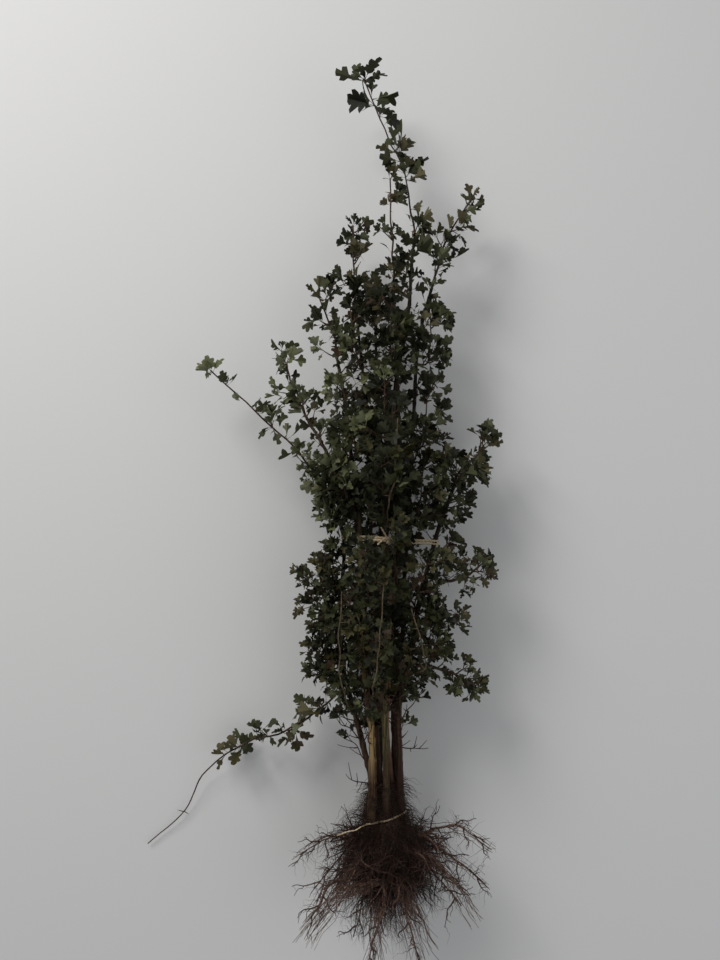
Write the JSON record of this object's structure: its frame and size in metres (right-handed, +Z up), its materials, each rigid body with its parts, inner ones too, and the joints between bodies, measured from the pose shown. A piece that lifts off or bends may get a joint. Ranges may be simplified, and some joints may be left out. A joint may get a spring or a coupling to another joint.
{
  "type": "bare-root hawthorn tree",
  "caption": "Young hawthorn tree lifted with bare roots: a clump of slender upright stems from one root crown, tied round with twine, with lobed leaves.",
  "frame": {"origin": "the point on the ground under the middle of the plant's box, as it lies", "axes": "+Y along the stems from the roots to the top of the crown, +Z straight up from the ground that it lies on, +X to the right for one who looks down on it with the crown away from them"},
  "size_m": [0.6002, 1.4308, 0.2479],
  "materials": {
    "bark": "smooth young bark, tan, olive and purple-brown by stem",
    "root": "dull reddish-brown root bark with dry soil",
    "leaf": "matt dark green lobed leaves on thin brown twigs",
    "fine_root": "dull dark brown fibrous roots",
    "twine": "pale straw-coloured twine"
  },
  "bodies": {
    "root": {"bough_left": "bark", "bough_right_low": "bark", "bough_right_mid": "bark", "fine_roots_back": "fine_root", "fine_roots_front": "fine_root", "fine_roots_left": "fine_root", "fine_roots_right": "fine_root", "leaves_high_back": "leaf", "leaves_high_front": "leaf", "leaves_high_left": "leaf", "leaves_high_right": "leaf", "leaves_leader_low": "leaf", "leaves_leader_top": "leaf", "leaves_left_long": "leaf", "leaves_left_second": "leaf", "leaves_low_back": "leaf", "leaves_low_front": "leaf", "leaves_low_left": "leaf", "leaves_low_right": "leaf", "leaves_low_shoot": "leaf", "leaves_mid_back": "leaf", "leaves_mid_front": "leaf", "leaves_mid_left": "leaf", "leaves_mid_right": "leaf", "leaves_right_bough": "leaf", "leaves_right_inner": "leaf", "leaves_right_low": "leaf", "leaves_right_mid": "leaf", "leaves_tip_centre": "leaf", "leaves_tip_left": "leaf", "leaves_tip_mid_left": "leaf", "leaves_tip_right": "leaf", "leaves_upper_back": "leaf", "leaves_upper_front": "leaf", "leaves_upper_left": "leaf", "leaves_upper_right": "leaf", "leaves_waist_back": "leaf", "leaves_waist_front": "leaf", "leaves_waist_left": "leaf", "leaves_waist_right": "leaf", "lower_tie": "twine", "root_back_left": "root", "root_back_right": "root", "root_crown": "root", "root_front": "root", "root_front_right": "root", "root_left": "root", "root_left_arch": "root", "root_right_long": "root", "root_right_outer": "root", "root_right_thick": "root", "stem_1": "bark", "stem_2": "bark", "stem_3": "bark", "stem_4": "bark", "stem_5": "bark", "stem_6": "bark", "stem_7": "bark", "stem_8": "bark", "upper_tie": "twine"}
  },
  "joints": []
}
